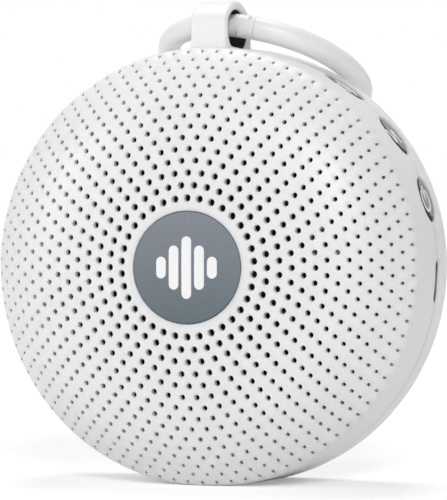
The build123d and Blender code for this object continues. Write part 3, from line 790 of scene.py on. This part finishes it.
def plated_metal(name, dark, pale, rough, scale, stretch):
    """Plated metal: fine drawn lines from stretched noise change its tint, gloss and relief."""
    material, tree, shader = new_paint(name)
    place = add_node(tree, "TexCoord").outputs["Object"]
    drawn = add_node(tree, "Mapping", {"Vector": place, "Scale": stretch}).outputs[0]
    lines = add_node(tree, "TexNoise", {"Vector": drawn, "Scale": scale, "Detail": 4.0,
                                        "Roughness": 0.6}).outputs[0]
    tint = add_node(tree, "Mix", {"Factor": lines, "A": (*dark, 1), "B": (*pale, 1)}, data_type="RGBA")
    gloss = add_node(tree, "MapRange", {"Value": lines, "To Min": rough - 0.1, "To Max": rough + 0.1})
    relief = add_node(tree, "Bump", {"Height": lines, "Strength": 0.2, "Distance": 0.02 * mm})
    wire_paint(tree, shader, tint, gloss, relief)
    shader.inputs["Metallic"].default_value = 1.0
    return material


def finish_node(material, *nodes):
    """Paints nodes whose solids stay as they are."""
    for node in nodes:
        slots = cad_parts[node].data.materials
        slots.clear()
        slots.append(material)


screw_sheet = Sheet()
for turn in boss_turns:
    screw_body(screw_sheet, boss_circle, turn)
screw_steel = plated_metal("screw_steel", (0.5, 0.5, 0.51), (0.68, 0.68, 0.69), 0.34, 1800.0, (1, 5, 1))
place_piece(screw_sheet.mesh("housing_screw_set"), "housing", "screw_steel", screw_steel, "housing_screws")
finish_node(screw_steel, "speaker_screws", "board_screws")

# ---------------------------------------------------------------------------------------------
# Charging port: a nickel-plated steel shell round a black plastic tongue, soldered to the board,
# its mouth just inside the slot in the side wall.
port_steel = plated_metal("port_steel", (0.5, 0.51, 0.53), (0.68, 0.69, 0.71), 0.3, 1400.0, (6, 1, 1))
port_plastic = moulded_plastic("port_plastic", (0.02, 0.02, 0.022), (0.035, 0.035, 0.037), 0.2, 0.45, 0.55)
finish_node(port_steel, "port_shell")
finish_node(port_plastic, "port_tongue")

# ---------------------------------------------------------------------------------------------
# Acoustic cloth: black polyester, a plain weave of round threads, glued behind the holes.
thread_step = 0.42 * mm
thread_waves = 2 * pi / thread_step


def woven_cloth(name, dark, pale):
    """Plain weave: threads are waves along x and z, and a slower check says which lies on top."""
    material, tree, shader = new_paint(name)
    place = add_node(tree, "TexCoord").outputs["Object"]
    axes = add_node(tree, "SeparateXYZ", {0: place})
    waves = []
    for axis in ("X", "Z"):
        phase = add_node(tree, "Math", {0: axes.outputs[axis], 1: thread_waves},
                         operation="MULTIPLY").outputs[0]
        wave = add_node(tree, "Math", {0: phase}, operation="SINE").outputs[0]
        waves.append(add_node(tree, "Math", {0: wave, 1: 0.5, 2: 0.5}, operation="MULTIPLY_ADD").outputs[0])
    check = add_node(tree, "TexChecker", {"Vector": place, "Scale": 1 / thread_step}).outputs["Fac"]
    height = add_node(tree, "Mix", {"Factor": check, "A": waves[0], "B": waves[1]}).outputs[0]
    fuzz = add_node(tree, "TexNoise", {"Vector": place, "Scale": 6000.0, "Detail": 3.0}).outputs["Fac"]
    body = add_node(tree, "Math", {0: fuzz, 1: 0.3, 2: height}, operation="MULTIPLY_ADD").outputs[0]
    tint = add_node(tree, "Mix", {"Factor": body, "A": (*dark, 1), "B": (*pale, 1)}, data_type="RGBA")
    relief = add_node(tree, "Bump", {"Height": body, "Strength": 0.6, "Distance": 0.1 * mm})
    tree.links.new(tint.outputs["Result"], shader.inputs["Base Color"])
    tree.links.new(relief.outputs["Normal"], shader.inputs["Normal"])
    shader.inputs["Roughness"].default_value = 0.95
    shader.inputs["Specular IOR Level"].default_value = 0.15
    return material


def cloth_patches():
    """A round patch of the cloth in the hollow front of each post: rings that follow the dome."""
    turns = np.arange(24) * pi / 12
    front, back, reach = wall + 0.3 * mm, wall + 0.6 * mm, post_radius - 0.5 * mm
    sheet = Sheet()
    for circle, places in ((boss_circle, boss_turns), (post_circle, post_turns)):
        for turn in places:
            rows = []
            for size, inset in ((0, front), (reach / 2, front), (reach, front), (reach, back), (0, back)):
                out, along = circle + size * np.cos(turns), size * np.sin(turns)
                r = np.hypot(out, along)
                rows.append(around(r, turn + np.arctan2(along, out), dome_depth(r, inset)))
            sheet.grid(sheet.add(np.stack(rows)))
    return sheet.mesh("cloth_patches")


cloth_dark = woven_cloth("cloth_dark", (0.004, 0.004, 0.005), (0.02, 0.02, 0.022))
finish_node(cloth_dark, "acoustic_cloth")
place_piece(cloth_patches(), "housing", "cloth_dark", cloth_dark)

# ---------------------------------------------------------------------------------------------
# Loudspeaker: a pressed steel basket in black paint carries a rubber surround, a coated paper cone
# with its cap, a copper voice coil, and a ferrite ring between two plated plates.


def coated(name, dark, pale, scale, detail, bump, rough, kind="TexNoise"):
    """Plain rough coat: one pattern sets tint, gloss and relief together."""
    material, tree, shader = new_paint(name)
    place = add_node(tree, "TexCoord").outputs["Object"]
    values = add_node(tree, kind, {"Vector": place, "Scale": scale, "Detail": detail}).outputs
    pattern = values["Fac" if kind == "TexNoise" else "Distance"]
    tint = add_node(tree, "Mix", {"Factor": pattern, "A": (*dark, 1), "B": (*pale, 1)}, data_type="RGBA")
    gloss = add_node(tree, "MapRange", {"Value": pattern, "To Min": rough - 0.08, "To Max": rough + 0.08})
    relief = add_node(tree, "Bump", {"Height": pattern, "Strength": bump, "Distance": 0.05 * mm})
    wire_paint(tree, shader, tint, gloss, relief)
    return material


def wound_copper(name):
    """Enamelled wire: bright and dark bands, one to each turn of the wire along the coil."""
    material = plated_metal(name, (0.45, 0.2, 0.09), (0.78, 0.42, 0.22), 0.32, 900.0, (1, 6, 1))
    tree = material.node_tree
    place = add_node(tree, "TexCoord").outputs["Object"]
    turns = add_node(tree, "TexWave", {"Vector": place, "Scale": 1600.0}, bands_direction="Y").outputs["Fac"]
    relief = add_node(tree, "Bump", {"Height": turns, "Strength": 0.7, "Distance": 0.05 * mm})
    tree.links.new(relief.outputs["Normal"], tree.nodes["Principled BSDF"].inputs["Normal"])
    return material


def magnet_stack(name):
    """Sintered ferrite, dark and speckled, between plates that are plated bright."""
    material = coated(name, (0.03, 0.03, 0.032), (0.09, 0.09, 0.095), 3000.0, 5.0, 0.4, 0.6)
    tree = material.node_tree
    shader = tree.nodes["Principled BSDF"]
    low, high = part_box("speaker_magnet")
    depth = add_node(tree, "SeparateXYZ", {0: add_node(tree, "TexCoord").outputs["Object"]}).outputs["Y"]
    off_middle = add_node(tree, "Math", {0: depth, 1: (low.y + high.y) / 2}, operation="SUBTRACT").outputs[0]
    span = add_node(tree, "Math", {0: off_middle}, operation="ABSOLUTE").outputs[0]
    plate = add_node(tree, "Math", {0: span, 1: (high.y - low.y) * 0.3}, operation="GREATER_THAN").outputs[0]
    ferrite = shader.inputs["Base Color"].links[0].from_socket
    tint = add_node(tree, "Mix", {"Factor": plate, "A": ferrite, "B": (0.6, 0.6, 0.58, 1)}, data_type="RGBA")
    tree.links.new(tint.outputs["Result"], shader.inputs["Base Color"])
    tree.links.new(plate, shader.inputs["Metallic"])
    return material


finish_node(coated("basket_black", (0.012, 0.012, 0.013), (0.03, 0.03, 0.032), 2200.0, 3.0, 0.3, 0.42),
            "speaker_basket")
finish_node(coated("rubber_black", (0.008, 0.008, 0.008), (0.02, 0.02, 0.02), 4000.0, 2.0, 0.3, 0.75),
            "speaker_surround")
finish_node(coated("cone_paper", (0.025, 0.024, 0.023), (0.07, 0.068, 0.064), 1500.0, 8.0, 0.5, 0.8),
            "speaker_cone", "speaker_dust_cap")
finish_node(wound_copper("coil_copper"), "voice_coil")
finish_node(magnet_stack("magnet_iron"), "speaker_magnet")

# ---------------------------------------------------------------------------------------------
# Electronics: a round glass-fibre board with green solder mask, black chips and switches on it,
# and a lithium pouch cell in silver foil on a foam pad behind it.


def solder_mask(name):
    """Green mask over copper: cells of a grid show as paler tracks, and grain shows in the gloss."""
    material, tree, shader = new_paint(name)
    place = add_node(tree, "TexCoord").outputs["Object"]
    upright = add_node(tree, "Mapping", {"Vector": place, "Rotation": (pi / 2, 0, 0)}).outputs[0]
    tracks = add_node(tree, "TexBrick", {"Vector": upright, "Scale": 260.0, "Mortar Size": 0.02,
                                         "Color1": (0, 0, 0, 1), "Color2": (0.25, 0.25, 0.25, 1),
                                         "Mortar": (1, 1, 1, 1)}).outputs["Color"]
    grain = add_node(tree, "TexNoise", {"Vector": place, "Scale": 1800.0, "Detail": 4.0}).outputs["Fac"]
    tint = add_node(tree, "Mix", {"Factor": tracks, "A": (0.008, 0.09, 0.04, 1), "B": (0.03, 0.2, 0.09, 1)},
                    data_type="RGBA")
    gloss = add_node(tree, "MapRange", {"Value": grain, "To Min": 0.25, "To Max": 0.4})
    relief = add_node(tree, "Bump", {"Height": tracks, "Strength": 0.3, "Distance": 0.04 * mm})
    wire_paint(tree, shader, tint, gloss, relief)
    return material


switch_black = moulded_plastic("switch_black", (0.02, 0.02, 0.022), (0.035, 0.035, 0.037), 0.3, 0.5, 0.6)
finish_node(solder_mask("board_green"), "main_board")
finish_node(moulded_plastic("chip_black", (0.012, 0.012, 0.014), (0.03, 0.03, 0.032), 0.5, 0.55, 0.7, 5000.0),
            "circuit_chips")
finish_node(switch_black, "push_switches", "power_plunger", "sound_plunger", "volume_plunger")
finish_node(plated_metal("battery_foil", (0.55, 0.56, 0.58), (0.78, 0.79, 0.81), 0.36, 160.0, (1, 1, 1)),
            "battery_cell")
finish_node(coated("pad_foam", (0.03, 0.03, 0.03), (0.11, 0.11, 0.11), 2600.0, 0.0, 0.8, 0.9, "TexVoronoi"),
            "battery_pad")
